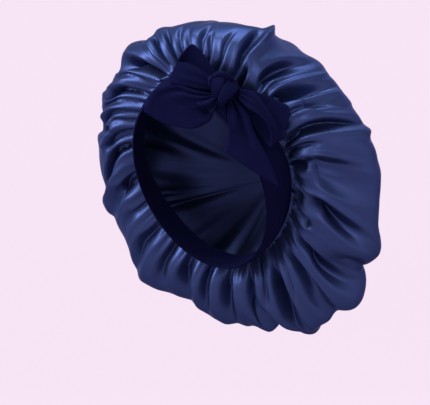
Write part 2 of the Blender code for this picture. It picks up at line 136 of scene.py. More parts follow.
# Narrow raised creases where the satin folds over, read the same way.
CREASES = (
    # seam, middle, tip, start, end, lower, higher, height
    (38, 34, 16, 0.20, 0.44, 4.0, 1.0, 1.2),
    (36.5, 32.5, 24, 0.03, 0.34, 1.0, 5.0, 0.35),
    (42.5, 38.5, 35.5, 0.01, 0.13, 1.4, 1.6, 0.40),
    (52, 51.5, 42.5, 0.03, 0.46, 2.2, 1.6, 0.34),
    (79, 75.5, 70, 0.06, 0.66, 0.8, 14.0, 0.42),
    (62.5, 61.5, 54, 0.06, 0.42, 2.0, 1.8, 0.28),
    (66.5, 66, 62, 0.03, 0.36, 2.4, 1.4, 0.24),
    (84, 84.5, 86, 0.02, 0.32, 2.6, 1.0, 0.34),
    (99.5, 104, 115, 0.02, 0.38, 3.4, 1.0, 0.36),
    (146, 151, 159, 0.04, 0.40, 3.0, 3.0, 0.34),
    (279, 265.5, 263.5, 0.03, 0.54, 13.0, 0.8, 0.45),
    (293, 279, 277, 0.01, 0.10, 1.6, 1.6, 0.30),
    (298, 272, 267.5, 0.02, 0.26, 2.5, 2.5, 0.36),
    (311, 284, 280, 0.01, 0.20, 2.0, 2.2, 0.45),
    (315, 294.5, 292.5, 0.01, 0.26, 1.6, 2.6, 0.36),
    (329, 308, 305, 0.02, 0.30, 1.2, 4.0, 0.36),
    (348, 337, 331, 0.03, 0.24, 2.6, 2.4, 0.36),
    (337, 316, 312, 0.03, 0.25, 3.0, 1.2, 0.40),
)

# The bow, seen from in front of it, in shares of the ribbon's width.
KNOT_OUTLINE = (
    # angle, distance
    (7, 0.32), (56, 0.33), (91, 0.39), (133, 0.40), (170, 0.28), (230, 0.26), (261, 0.40),
    (286, 0.34), (340, 0.34),
)
KNOT_HEIGHT = 0.30
LOOP_FRONT = (
    # across, up, out, across, up, out
    (-0.21, -0.04, 0.14, -0.19, 0.20, 0.16),
    (-0.53, -0.01, 0.20, -0.53, 0.43, 0.20),
    (-0.92, 0.06, 0.22, -0.80, 0.56, 0.18),
    (-1.19, 0.13, 0.20, -1.03, 0.62, 0.13),
    (-1.23, 0.20, 0.12, -0.86, 0.88, 0.10),
    (-1.12, 0.24, 0.02, -0.69, 0.99, 0.05),
    (-0.71, 0.12, 0.02, -0.43, 0.73, 0.02),
    (-0.22, 0.03, 0.00, -0.14, 0.30, -0.04),
)
LOOP_SIDE = (
    (0.22, -0.14, 0.12, 0.24, 0.02, 0.10),
    (0.51, -0.44, 0.30, 0.64, -0.09, 0.30),
    (0.78, -0.61, 0.34, 0.85, -0.32, 0.34),
    (0.99, -0.90, 0.30, 1.10, -0.70, 0.30),
    (1.03, -1.24, 0.14, 1.30, -1.08, 0.14),
    (0.95, -1.25, -0.02, 1.44, -0.46, -0.04),
    (0.80, -1.05, -0.06, 1.22, -0.27, -0.08),
    (0.45, -0.52, 0.02, 0.72, -0.06, -0.04),
    (0.26, -0.20, 0.02, 0.24, 0.04, -0.04),
)
TAIL_FRONT = (
    (-0.11, -0.20, 0.02, -0.17, -0.11, 0.00),
    (-0.24, -0.53, 0.08, -0.55, -0.06, 0.06),
    (-0.32, -0.70, 0.06, -0.84, 0.03, 0.03),
    (-0.43, -0.77, 0.04, -1.12, 0.12, 0.03),
    (-0.56, -0.84, 0.02, -1.57, -0.02, 0.03),
    (-0.71, -0.88, 0.02, -1.80, -0.49, 0.03),
)
TAIL_SIDE = (
    (0.05, -0.22, 0.08, 0.20, -0.16, 0.06),
    (0.06, -0.60, 0.16, 0.51, -0.55, 0.12),
    (0.08, -0.80, 0.14, 0.65, -0.92, 0.12),
    (0.07, -1.00, 0.12, 0.83, -1.27, 0.10),
    (0.03, -1.20, 0.10, 1.03, -1.66, 0.08),
    (-0.01, -1.38, 0.10, 1.23, -2.18, 0.08),
)
# Soft folds along each ribbon: where each runs across the ribbon at the knot and at the
# end, the stretch along the ribbon, its half width and its height, in shares of the width.
LOOP_FRONT_FOLDS = (
    # at_knot, at_end, start, end, half_width, height
    (0.35, 0.30, 0.0, 0.45, 0.12, -0.035),
    (0.70, 0.80, 0.0, 0.40, 0.10, -0.03),
    (0.55, 0.55, 0.55, 1.0, 0.14, -0.04),
)
LOOP_SIDE_FOLDS = (
    (0.30, 0.35, 0.0, 0.40, 0.12, -0.04),
    (0.65, 0.60, 0.0, 0.45, 0.12, -0.04),
    (0.50, 0.45, 0.55, 1.0, 0.16, -0.05),
)
TAIL_FRONT_FOLDS = (
    (0.45, 0.46, 0.0, 0.75, 0.10, -0.11),
    (0.22, 0.22, 0.0, 0.55, 0.10, 0.07),
    (0.80, 0.86, 0.0, 0.90, 0.06, 0.06),
    (0.68, 0.76, 0.05, 0.85, 0.05, -0.06),
    (0.92, 0.95, 0.10, 0.95, 0.05, -0.05),
)
TAIL_SIDE_FOLDS = (
    (0.55, 0.62, 0.0, 0.80, 0.12, -0.09),
    (0.30, 0.32, 0.0, 0.55, 0.12, 0.05),
    (0.82, 0.85, 0.0, 0.70, 0.09, 0.05),
)
# Straps of the knot in shares of the ribbon's width: the strap's middle line, across, up
# and out from the knot's middle, and its half width there.
LEFT_STRAP = (
    # across, up, out, half_width
    (-0.15, 0.32, -0.02, 0.17), (-0.16, 0.21, 0.24, 0.18), (-0.17, 0.06, 0.31, 0.155),
    (-0.18, -0.12, 0.26, 0.10), (-0.17, -0.26, 0.12, 0.06),
)
CROSS_STRAP = (
    (0.25, 0.16, -0.10, 0.15), (0.18, 0.06, 0.22, 0.16), (0.08, -0.06, 0.36, 0.15),
    (-0.02, -0.21, 0.35, 0.12), (-0.09, -0.36, 0.20, 0.09), (-0.11, -0.43, -0.04, 0.07),
)
ARCH_STRAP = (
    (-0.30, 0.14, -0.04, 0.06), (-0.25, 0.27, 0.18, 0.055), (-0.11, 0.33, 0.32, 0.05),
    (0.03, 0.31, 0.34, 0.05), (0.14, 0.22, 0.26, 0.055), (0.22, 0.10, 0.02, 0.06),
)
# Each strap with how thick it is, and each ribbon in the order in which it is laid: its
# piece, its solid, its cross lines, its folds, how far its end bows out, and its knit's length.
STRAPS = ((LEFT_STRAP, 0.05), (CROSS_STRAP, 0.05), (ARCH_STRAP, 0.035))
RIBBONS = (
    ("front_tail", "bow_tail_front", TAIL_FRONT, TAIL_FRONT_FOLDS, 0.10, 0.075),
    ("side_tail", "bow_tail_side", TAIL_SIDE, TAIL_SIDE_FOLDS, 0.04, 0.085),
    ("front_loop", "bow_loop_front", LOOP_FRONT, LOOP_FRONT_FOLDS, 0, 0.11),
    ("side_loop", "bow_loop_side", LOOP_SIDE, LOOP_SIDE_FOLDS, 0, 0.13),
)

# The crown. A pair says where along the wall a change starts, and what share of it that takes.
LEAD_ALONG = 0.02  # where the satin has risen from the seam
BROAD, CLOSE = 9, 2  # degrees to both sides over which the reach is averaged
BILLOWS, LOBES_GROW, LOBES_FADE = (0, 0.25), (0.06, 0.22), (0.46, 0.34)
KNEE, KNEE_SHARE = 0.15, 0.6  # where a fold bends, or at what share of a short one
MAIN_END = 0.30  # folds that run as far as this carry the threads of the satin with them
VALLEY_ENDS, CREASE_ENDS = (0.15, 0.45), (0.25, 0.4)  # shares of a fold over which it fades
SLACKER, SLACK_LOSS = (0.17, 0.17), 0.6  # where valleys get shallower, and by how much
# A valley's bottom is rounded by a hyperbola that is then stretched to 0 and 1 again.
VALLEY_SOFT, VALLEY_SHIFT, VALLEY_STRETCH = 0.03, 0.173, 0.842
SHARP_POWER, ROUND_POWER, CREASE_POWER, CREASE_SWELL = 0.9, 1.1, 1.6, 0.6
SEAM_FLAT = 0.012  # the share of the wall by the seam over which all relief grows
GATHERS = (
    # count and height as shares of the crown's own, shortest and longest share of the wall
    (1, 1, 0.05, 0.16),
    (0.4, 0.9, 0.12, 0.34),
)
PLEAT_LEAST, PLEAT_UNEVEN, PLEAT_POWER = 0.35, 0.3, 0.75
DRAPE_COUNTS, DRAPE_HEIGHT = (9, 13, 17, 23, 31), 0.0016
DRAPE_DRIFT, DRAPE_SWAY, DRAPE_SWAYS = 2.5, 0.6, 7
DRAPES_GROW, DRAPES_FADE = (0.16, 0.2), (0.62, 0.34)
WRINKLE_WAVES, WRINKLE_HEIGHT, WRINKLE_POWER = 14, 0.0012, 1.2
WRINKLE_LENGTHS, WRINKLE_MEAN = (0.05, 0.15), 0.1  # metres from wave to wave
WRINKLE_SWAY, WRINKLE_SWAYS = 0.018, 31
WRINKLES_GROW, WRINKLES_EASE = (0.22, 0.25), (0.8, 0.2)
CROWN_COLUMNS = 640
SEAM_POINTS = 9
CROWN_STRETCHES = ((0, 0.03, SEAM_POINTS), (0.03, 0.40, 66), (0.40, 0.60, 18))
BACK_STRETCH = (0.60, 0.985, 18)  # from, to and points, as in the others
WALL_LENGTH, SEAM_RADIUS = 0.42, 0.16  # the cloth's own size for its weave, in metres
TIP_STEP = 0.004

# The band. Its hem and creases are in shares from the front edge to the seam, and in metres.
PULL_TURN, PULL_SOON = 0.35, 1.25  # where the flatter side starts, and how soon it is full
BAND_COLUMNS, BAND_ROWS = 420, 27
BAND_CLOTH = (0.66, 0.045)
HEM_RISE, HEM_PLACE, HEM_SPREAD, HEM_ROLL = 0.0005, 0.02, 0.03, 0.045
CREASE_SPREAD, CREASE_WOBBLE, CREASE_LEAST, CREASE_INSIDE = 0.035, 0.02, 0.35, 0.5
BAND_CREASES = (
    # middle, wave, depth, turn
    (0.32, 0.05, 0.0007, 1.0), (0.52, 0.06, 0.0009, 2.3), (0.70, 0.05, 0.0008, 4.1),
    (0.86, 0.03, 0.0006, 5.0),
)

# The bow, in metres, or in shares of the knot's height or the ribbon's width.
RIBBON_ROWS, RIBBON_COLUMNS = 72, 25
RIBBON_STANDS, KNOT_STANDS = 0.4, 0.45
LUMP_WIDTH, LUMP_HEIGHT = 0.92, 0.9  # the lump under the straps against the whole knot
LUMP_ROWS, LUMP_COLUMNS, STRAP_ROWS, STRAP_COLUMNS = 24, 72, 34, 28
RIBBON_CLEAR, KNOT_CLEAR = 0.0008, 0.0003
TIE_EDGE, TIE_HEM, TIE_HEM_SPREAD, TIE_HEM_RISE = 0.0016, 0.0035, 0.0022, 0.28
KNOT_CLOTH = 0.05
TIE_LEAST, TIE_END = 0.05, 0.4  # share left at its edges, squared, and at its end
FOLD_ENDS = (0.2, 0.5)
LOOK_FROM, DEEPEST, NUDGE, TRIES = 0.3, 0.06, 0.0001, 12
WIDENINGS, WIDENED_SHARE = 4, 0.97
LUMP_LEAN, LUMP_BLUR, LUMP_POWER = 86, 16, 0.8  # the first two in degrees
STRAP_POWER, STRAP_TIP = 0.7, 0.02

# Weaves, in metres.
THREAD, KNIT_COLUMN, KNIT_ROW = 0.0007, 0.0011, 0.0013
BUMP_DEPTH = 0.0004

# The stage. The view is framed by the photograph's width and middle, and by where the origin
# lies on it, in pixels.
PHOTO_WIDTH, PHOTO_MIDDLE, PHOTO_ORIGIN = 430, (215, 202.5), (206.05, 174.3)
METRES_A_PIXEL = 0.00115
SENSOR = 36
FLOOR_BEND, FLOOR_FAR, WALL_HIGH, FLOOR_SPREAD, FLOOR_COLUMNS = 0.8, 2.6, 3.2, 1.6, 96
FLOOR_CHANGES = (0.9, 2.6)
SKY, SKY_STRENGTH = (0.93, 0.88, 0.94, 1), 0.25
LIGHTS = (
    # name, towards the camera, to its right, up, size, power
    ("key", 1.7, -1.6, 2.3, 2.4, 128),
    ("top", -0.4, 0.4, 2.6, 1.8, 70),
    ("side", 0.5, -2.4, 1.0, 1.5, 66),
    ("behind", -2.2, 1.6, 1.3, 1.6, 14),
    ("fill", 2.4, 1.6, 1.2, 1.4, 19),
)


def metres(name, description, default):
    """A size that a user can change."""
    return FloatProperty(name=name, description=description, default=default, unit="LENGTH")


def slant(name, description, degrees):
    """An angle that a user can change, from its degrees."""
    return FloatProperty(
        name=name, description=description, default=math.radians(degrees), unit="ROTATION"
    )


def portion(name, description, default):
    """A share that a user can change."""
    return FloatProperty(
        name=name, description=description, default=default, subtype="FACTOR", min=0.0, max=1.0
    )


def paint(name, description, default):
    """A colour that a user can change."""
    return FloatVectorProperty(
        name=name, description=description, default=default, subtype="COLOR", size=3,
        min=0.0, max=1.0,
    )


class CrownSizes(bpy.types.PropertyGroup):
    """The satin crown's sizes."""

    rim_width: metres("Rim width", "Across the widest part of the crown", 0.372)
    rim_top: metres("Rim top", "The rim's top above the origin", 0.184)
    rim_drop: metres("Rim drop", "The rim's lowest point below the origin", 0.187)
    rim_top_back: metres("Rim top back", "How far behind the origin the rim's top lies", 0.035)
    rim_drop_back: metres(
        "Rim drop back", "How far behind the origin the rim's lowest point lies", 0.128
    )
    crown_back: metres("Crown back", "The middle of the back, behind the origin", 0.196)
    fold_depth: metres("Fold depth", "How deep a main valley between gathers is", 0.012)
    seam_rise: metres("Seam rise", "How far the satin stands out before it billows", 0.004)
    pleat_height: metres(
        "Pleat height", "How far the small gathers at the seam stand up", 0.0034
    )
    pleats: IntProperty(
        name="Pleats", description="How many small gathers go round the seam", default=118
    )
    wall: metres("Cloth thickness", "Thickness of the satin", 0.0012)
    seed: IntProperty(
        name="Seed", description="Chooses how small gathers, drapes and wrinkles fall", default=11
    )


class BandSizes(bpy.types.PropertyGroup):
    """The jersey band's sizes."""

    opening_width: metres("Opening width", "Across the band's front edge", 0.158)
    opening_length: metres(
        "Opening length", "Along the band's front edge, top to bottom", 0.236
    )
    opening_tilt: slant("Opening tilt", "How far the opening leans back from upright", 33)
    reach: metres("Reach", "From the front edge to the seam", 0.038)
    flare: metres("Flare", "How much further out the seam lies than the front edge", 0.018)
    bulge: metres("Bulge", "How far the band's middle bulges", 0.003)
    right_pull: portion("Right pull", "How much less the band flares on the -X side", 0.55)
    wall: metres("Cloth thickness", "Thickness of the folded jersey", 0.0024)


class BowSizes(bpy.types.PropertyGroup):
    """The bow's sizes."""

    ribbon_width: metres("Ribbon width", "Width of the ties", 0.050)
    ribbon_wall: metres("Cloth thickness", "Thickness of the folded jersey ties", 0.0020)
    angle: slant("Place round the band", "From the top towards the +X side", 33.5)
    share: portion("Place across the band", "From the front edge towards the seam", 0.75)
    turn: slant("Turn", "How far the bow faces to the +X side", 28)


class Finishes(bpy.types.PropertyGroup):
    """Colours of the cloths."""

    satin: paint("Satin", "Colour of the satin", (0.032, 0.050, 0.142))
    jersey: paint("Jersey", "Colour of the band and the bow", (0.0034, 0.0040, 0.021))


class StageSizes(bpy.types.PropertyGroup):
    """The floor and the camera."""

    backdrop: paint(
        "Backdrop", "Colour of the floor and the wall behind", (0.905, 0.760, 0.890)
    )
    floor_drop: metres("Floor drop", "How far the floor lies below the origin", 0.55)
    camera_turn: slant("Camera turn", "How far the camera stands to the +X side", 28)
    camera_far: metres("Camera distance", "From the camera to the bonnet", 2.0)


def smooth(x):
    """An even step from 0 to 1, for x from 0 to 1."""
    x = np.clip(x, 0.0, 1.0)
    return x * x * (3 - 2 * x)


def ramp(x, start, span):
    """The same step, from a start on and over a span."""
    return smooth((x - start) / span)


def faded(t, first, last):
    """1 along the middle of a fold, and less over a share of it at its start and its end."""
    return smooth(t / first) * smooth((1 - t) / last)


def opening_axes():
    """The directions across the opening, up its length, and in through it."""
    tilt = bpy.context.scene.bonnet_band.opening_tilt
    across = np.array([1.0, 0.0, 0.0])
    up = np.array([0.0, -math.sin(tilt), math.cos(tilt)])
    inward = np.array([0.0, math.cos(tilt), math.sin(tilt)])
    return across, up, inward


def rounded(angle, roundness):
    """Cosine and sine of an egg-like ring instead of a circle."""
    power = 2 / roundness
    c, s = np.cos(angle), np.sin(angle)
    return np.sign(c) * np.abs(c) ** power, np.sign(s) * np.abs(s) ** power


def band_ring(angle, share, lift=0.0):
    """Points round the band, share 0 at the front edge and 1 at the seam, moved out by lift."""
    band = bpy.context.scene.bonnet_band
    across, up, inward = opening_axes()
    # On the -X side the band flares less.
    pull = band.right_pull * smooth(np.sin(angle - PULL_TURN) * -PULL_SOON)
    flare = band.flare * (1 - pull)
    bulge = band.bulge * math.sin(math.pi * share)
    out, out_up = flare * share + bulge + lift, flare / 2 * share + bulge + lift
    c, s = rounded(angle, 2 - (2 - SEAM_ROUNDNESS) * share)
    return (
        inward * band.reach * (share - 0.5)
        + (s * (band.opening_width / 2 + out))[:, None] * across
        + (c * (band.opening_length / 2 + out_up))[:, None] * up
    )


def ring(angle, top, bottom, half_width):
    """An ellipse from its top and bottom points on the middle plane, and its half width."""
    middle = (top + bottom) / 2
    return (
        middle
        + np.cos(angle)[:, None] * (top - bottom) / 2
        + np.outer(np.sin(angle) * half_width, [1.0, 0.0, 0.0])
    )


def crown_rings(angle):
    """The places along the wall of the crown's sections, and their rings of points."""
    crown, band = bpy.context.scene.bonnet_crown, bpy.context.scene.bonnet_band
    inward = opening_axes()[2]
    seam = band_ring(angle, 1.0)
    lead = band_ring(angle, 1.0, crown.seam_rise) + inward * crown.seam_rise
    seam_top, seam_bottom = band_ring(np.array([0.0, math.pi]), 1.0)
    seam_half = band.opening_width / 2 + band.flare
    rim_half = crown.rim_width / 2
    rim_top = np.array([0.0, crown.rim_top_back, crown.rim_top])
    rim_bottom = np.array([0.0, crown.rim_drop_back, -crown.rim_drop])
    back = np.array([0.0, crown.crown_back, 0.0])
    places, rings = [0.0, LEAD_ALONG], [seam, lead]
    for along, width, top_up, bottom_down, top_back, bottom_back in FRONT_SECTIONS:
        top = seam_top + (rim_top - seam_top) * [0, top_back, top_up]
        bottom = seam_bottom + (rim_bottom - seam_bottom) * [0, bottom_back, bottom_down]
        places.append(along)
        rings.append(ring(angle, top, bottom, seam_half + (rim_half - seam_half) * width))
    places.append(RIM_ALONG)
    rings.append(ring(angle, rim_top, rim_bottom, rim_half))
    for along, width, top_up, bottom_down, top_back, bottom_back in BACK_SECTIONS:
        top = rim_top * [0, 1 - top_back, top_up] + back * top_back
        bottom = rim_bottom * [0, 1 - bottom_back, bottom_down] + back * bottom_back
        places.append(along)
        rings.append(ring(angle, top, bottom, rim_half * width))
    places.append(1.0)
    rings.append(np.tile(back, (len(angle), 1)))
    return np.array(places), np.array(rings)


def cubic(first, last, first_slope, last_slope, span, t):
    """A smooth way from one value to another over a span, at a share t of it."""
    return (
        (2 * t**3 - 3 * t**2 + 1) * first
        + (t**3 - 2 * t**2 + t) * span * first_slope
        + (3 * t**2 - 2 * t**3) * last
        + (t**3 - t**2) * span * last_slope
    )


def along_curve(places, points, read):
    """A smooth curve through the points, read at several places."""
    slopes = np.gradient(points, places, axis=0)
    found = []
    for place in read:
        i = min(int(np.searchsorted(places, place, side="right")) - 1, len(places) - 2)
        i = max(i, 0)
        span = places[i + 1] - places[i]
        t = (place - places[i]) / span
        found.append(cubic(points[i], points[i + 1], slopes[i], slopes[i + 1], span, t))
    return np.array(found)


def even_curve(points, steps):
    """A smooth curve through evenly placed points, read in equal steps."""
    places = np.arange(len(points), dtype=float)
    return along_curve(places, points, np.linspace(0, len(points) - 1, steps))


def reach(angle, spread):
    """The reach at each angle, averaged over a spread of degrees to both sides."""
    degrees = np.arange(-len(REACH), 2 * len(REACH)) * 360 / len(REACH)
    here = np.degrees(angle)[:, None] + np.linspace(-spread, spread, 13)
    return np.interp(here, degrees, np.tile(REACH, 3)).mean(1)


def crown_form(angle, along):
    """The crown's smooth form, and its outward directions, on a grid of points."""
    grid = along_curve(*crown_rings(angle), along)
    middle = grid.mean(1, keepdims=True)
    broad, close = reach(angle, BROAD), reach(angle, CLOSE)
    lobes = ramp(along, *LOBES_GROW) * (1 - ramp(along, *LOBES_FADE))
    billow = 1 + np.outer(ramp(along, *BILLOWS), broad - 1) + np.outer(lobes, close - broad)
    grid = middle + (grid - middle) * billow[:, :, None]
    round_way = np.roll(grid, -1, axis=1) - np.roll(grid, 1, axis=1)
    outward = np.cross(round_way, np.gradient(grid, axis=0))
    length = np.linalg.norm(outward, axis=2, keepdims=True)
    # At the very back the ring is one point, and straight back is outward.
    outward = np.where(length > 1e-10, outward / np.maximum(length, 1e-10), [0.0, 1.0, 0.0])
    return grid, outward


def fold_angle(seam, middle, tip, end, along):
    """The angle at which a fold lies at each place along the wall."""
    knee = min(KNEE, end * KNEE_SHARE)
    first = (middle - seam) / knee
    second = (tip - middle) / (end - knee)
    slope = (first + second) / 2
    t, u = np.clip(along / knee, 0, 1), np.clip((along - knee) / (end - knee), 0, 1)
    lower = cubic(seam, middle, 2 * first - slope, slope, knee, t)
    upper = cubic(middle, tip, slope, 2 * second - slope, end - knee, u)
    return np.where(along < knee, lower, upper)


def cloth_flow(angle, along):
    """For each point, the angle at the seam from which its thread of the satin comes."""
    main = [row for row in VALLEYS if row[4] >= MAIN_END]
    main.sort(key=lambda row: row[0])
    seam = np.array([row[0] for row in main], float)
    flow = []
    for place in along:
        here = np.array([fold_angle(*row[:3], row[4], min(place, row[4])) for row in main])
        keep = np.maximum.accumulate(here + np.arange(len(here)) * 1e-6)
        xs = np.concatenate([keep - 360, keep, keep + 360])
        ys = np.concatenate([seam - 360, seam, seam + 360])
        flow.append(np.interp(np.degrees(angle), xs, ys))
    return np.array(flow)


def valley_profile(side, bottom_round):
    """How deep a valley is at a share of the way from its bottom, 0, to its rim, 1."""
    side = np.clip((np.sqrt(side**2 + VALLEY_SOFT) - VALLEY_SHIFT) / VALLEY_STRETCH, 0, 1)
    sharp = 1 - np.sin(math.pi / 2 * side) ** SHARP_POWER
    rounded_bottom = np.cos(math.pi / 2 * side) ** ROUND_POWER
    return sharp * (1 - bottom_round) + rounded_bottom * bottom_round


def beside_fold(row, degrees, along):
    """How far along a fold each point lies, as a share, and how many degrees beside it."""
    seam, middle, tip, start, end = row[:5]
    t = np.clip((along - start) / (end - start), 0, 1)
    return t, (degrees - fold_angle(seam, middle, tip, end, along) + 180) % 360 - 180


def crown_relief(angle, along):
    """How far valleys and creases move the satin out, in metres."""
    crown = bpy.context.scene.bonnet_crown
    degrees = np.degrees(angle)[None, :]
    along = along[:, None]
    height = np.zeros((along.shape[0], degrees.shape[1]))
    for *place, lower, higher, depth, bottom_round in VALLEYS:
        t, s = beside_fold(place, degrees, along)
        spread = 0.5 + 0.5 * np.sin(math.pi * t) ** 0.5
        side = np.where(s < 0, -s / (lower * spread), s / (higher * spread))
        fade = faded(t, *VALLEY_ENDS) * (1 - SLACK_LOSS * ramp(along, *SLACKER))
        height -= depth * crown.fold_depth * valley_profile(side, bottom_round) * fade
    for *place, lower, higher, rise in CREASES:
        t, s = beside_fold(place, degrees, along)
        side = np.clip(np.where(s < 0, -s / lower, s / higher), 0, 1)
        edge = (1 - side) ** CREASE_POWER * (1 + CREASE_SWELL * side)
        height += rise * crown.fold_depth * edge * faded(t, *CREASE_ENDS)
    return height


def gathers(flow, along, count, height, shortest, longest, seed):
    """Small raised pleats that start at the seam and die out at different lengths."""
    chance = np.random.default_rng(seed)
    lengths = chance.uniform(shortest, longest, count)
    heights = chance.uniform(PLEAT_LEAST, 1.0, count)
    shifts = np.append(chance.uniform(-PLEAT_UNEVEN, PLEAT_UNEVEN, count), 0)
    edges = (np.arange(count + 1) + shifts) / count
    edges[-1] = edges[0] + 1
    turn = (flow / 360 - edges[0]) % 1 + edges[0]
    index = np.clip(np.searchsorted(edges, turn, side="right") - 1, 0, count - 1)
    inside = (turn - edges[index]) / (edges[index + 1] - edges[index])
    place = along[:, None]
    grown = smooth(place / SEAM_FLAT) * (1 - ramp(place, LEAD_ALONG, lengths[index]))
    return height * heights[index] * np.sin(math.pi * inside) ** PLEAT_POWER * grown


def drapes(flow, along, seed):
    """Broad, soft waves that carry on over the back, from a few seeded waves."""
    chance = np.random.default_rng(seed)
    total = np.zeros_like(flow)
    place = along[:, None]
    for count in DRAPE_COUNTS:
        turn = np.radians(flow) * count + chance.uniform(0, 2 * math.pi)
        drift = chance.uniform(-DRAPE_DRIFT, DRAPE_DRIFT) * place
        bend = drift + DRAPE_SWAY * np.sin(place * DRAPE_SWAYS + count)
        total += np.sin(turn + bend) * chance.uniform(0.5, 1.0) * DRAPE_COUNTS[0] / count
    return total * (ramp(place, *DRAPES_GROW) * (1 - ramp(place, *DRAPES_FADE)))


def wrinkles(grid, along, seed):
    """Soft wandering creases over the slack back, from seeded waves through space."""
    chance = np.random.default_rng(seed)
    sways = grid[..., [1, 2, 0]] * WRINKLE_SWAYS + chance.uniform(0, 6, 3)
    bent = grid + WRINKLE_SWAY * np.sin(sways)
    total = np.zeros(grid.shape[:2])
    for _ in range(WRINKLE_WAVES):
        way = chance.normal(size=3)
        way /= np.linalg.norm(way)
        wave = chance.uniform(*WRINKLE_LENGTHS)
        turn = bent @ way * 2 * math.pi / wave + chance.uniform(0, 6)
        total += np.sin(turn) * wave / WRINKLE_MEAN
    total = np.sign(total) * np.abs(total) ** WRINKLE_POWER
    place = along[:, None]
    return total * ramp(place, *WRINKLES_GROW) * (1 - 0.5 * ramp(place, *WRINKLES_EASE))


def satin_surface(angle, along):
    """The satin's outer face with every fold, its outward directions and its threads."""
    crown = bpy.context.scene.bonnet_crown
    grid, outward = crown_form(angle, along)
    flow = cloth_flow(angle, along)
    relief = crown_relief(angle, along)
    for more, (count, height, shortest, longest) in enumerate(GATHERS):
        relief += gathers(
            flow, along, int(crown.pleats * count), crown.pleat_height * height, shortest,
            longest, crown.seed + more,
        )
    relief += drapes(flow, along, crown.seed + 2) * DRAPE_HEIGHT
    relief += wrinkles(grid, along, crown.seed + 3) * WRINKLE_HEIGHT
    relief = (np.roll(relief, 1, 1) + 2 * relief + np.roll(relief, -1, 1)) / 4
    relief[1:-1] = (relief[:-2] + 2 * relief[1:-1] + relief[2:]) / 4
    relief *= smooth(along / SEAM_FLAT)[:, None]
    return grid + outward * relief[:, :, None], outward, flow


class Sockets:
    """A shader value that can be used in ordinary sums."""

    def __init__(self, tree, socket):
        self.tree, self.socket = tree, socket

    def sum(self, kind, *others):
        """A math node of a kind, fed by this value and the others."""
        node = self.tree.nodes.new("ShaderNodeMath")
        node.operation = kind
        for place, value in zip(node.inputs, (self, *others)):
            if isinstance(value, Sockets):
                self.tree.links.new(value.socket, place)
            else:
                place.default_value = value
        return Sockets(self.tree, node.outputs[0])

    def __add__(self, other):
        return self.sum("ADD", other)

    def __mul__(self, other):
        return self.sum("MULTIPLY", other)

    def __sub__(self, other):
        return self.sum("SUBTRACT", other)

    def __rsub__(self, other):
        return (self * -1).sum("ADD", other)

    def __truediv__(self, other):
        return self.sum("DIVIDE", other)

    def __pow__(self, other):
        return self.sum("POWER", other)

    __radd__ = __add__
    __rmul__ = __mul__

    def sine(self):
        return self.sum("SINE")

    def size(self):
        return self.sum("ABSOLUTE")

    def part(self):
        return self.sum("FRACT")


class Shader:
    """A new material and the few ways its nodes are added."""

    def __init__(self, name):
        self.made = bpy.data.materials.new(name)
        self.made.use_nodes = True
        self.tree = self.made.node_tree
        self.surface = self.tree.nodes["Principled BSDF"]

    def node(self, kind, settings=None, **values):
        """One node: its settings first, then values or links for its sockets by name."""
        made = self.tree.nodes.new(kind)
        for name, value in (settings or {}).items():
            setattr(made, name, value)
        for name, value in values.items():
            self.join(made.inputs[name.replace("_", " ")], value)
        return made

    def join(self, place, value):
        """Link a value to a socket, or set the socket to it if it's a plain one."""
        if isinstance(value, Sockets):
            self.tree.links.new(value.socket, place)
        elif isinstance(value, bpy.types.NodeSocket):
            self.tree.links.new(value, place)
        else:
            place.default_value = value

    def value(self, socket):
        """A socket for use in sums."""
        return Sockets(self.tree, socket)

    def set(self, **values):
        """Feed the surface's sockets by name."""
        for name, value in values.items():
            self.join(self.surface.inputs[name.replace("_", " ")], value)

    def uv(self):
        """The cloth's own flat coordinates in metres, as two values."""
        place = self.node("ShaderNodeUVMap", {"uv_map": "cloth"})
        parts = self.node("ShaderNodeSeparateXYZ", Vector=place.outputs["UV"])
        return self.value(parts.outputs["X"]), self.value(parts.outputs["Y"])

    def noise(self, vector, scale, detail):
        """Soft noise, from 0 to 1."""
        made = self.node("ShaderNodeTexNoise", Vector=vector, Scale=scale, Detail=detail)
        return self.value(made.outputs["Fac"])

    def grain(self, x, y, detail):
        """Noise over a cloth, from its two coordinates."""
        place = self.node("ShaderNodeCombineXYZ", X=x, Y=y)
        return self.noise(place.outputs["Vector"], 1.0, detail)

    def mixed(self, share, first, second):
        """A colour between two."""
        made = self.node("ShaderNodeMix", {"data_type": "RGBA"})
        for place, value in (("Factor", share), (6, first), (7, second)):
            self.join(made.inputs[place], value)
        return made.outputs[2]

    def eased(self, value, low, high):
        """A soft step from 0 at a low value to 1 at a high one."""
        made = self.node(
            "ShaderNodeMapRange", {"interpolation_type": "SMOOTHSTEP"}, Value=value,
            From_Min=low, From_Max=high,
        )
        return self.value(made.outputs["Result"])

    def bump(self, height, strength):
        """Small relief on the surface."""
        made = self.node(
            "ShaderNodeBump", Height=height, Strength=strength, Distance=BUMP_DEPTH
        )
        self.set(Normal=made.outputs["Normal"])


def shade(colour, share):
    """A colour made darker or lighter by a share."""
    return (*(float(c) * share for c in colour), 1.0)


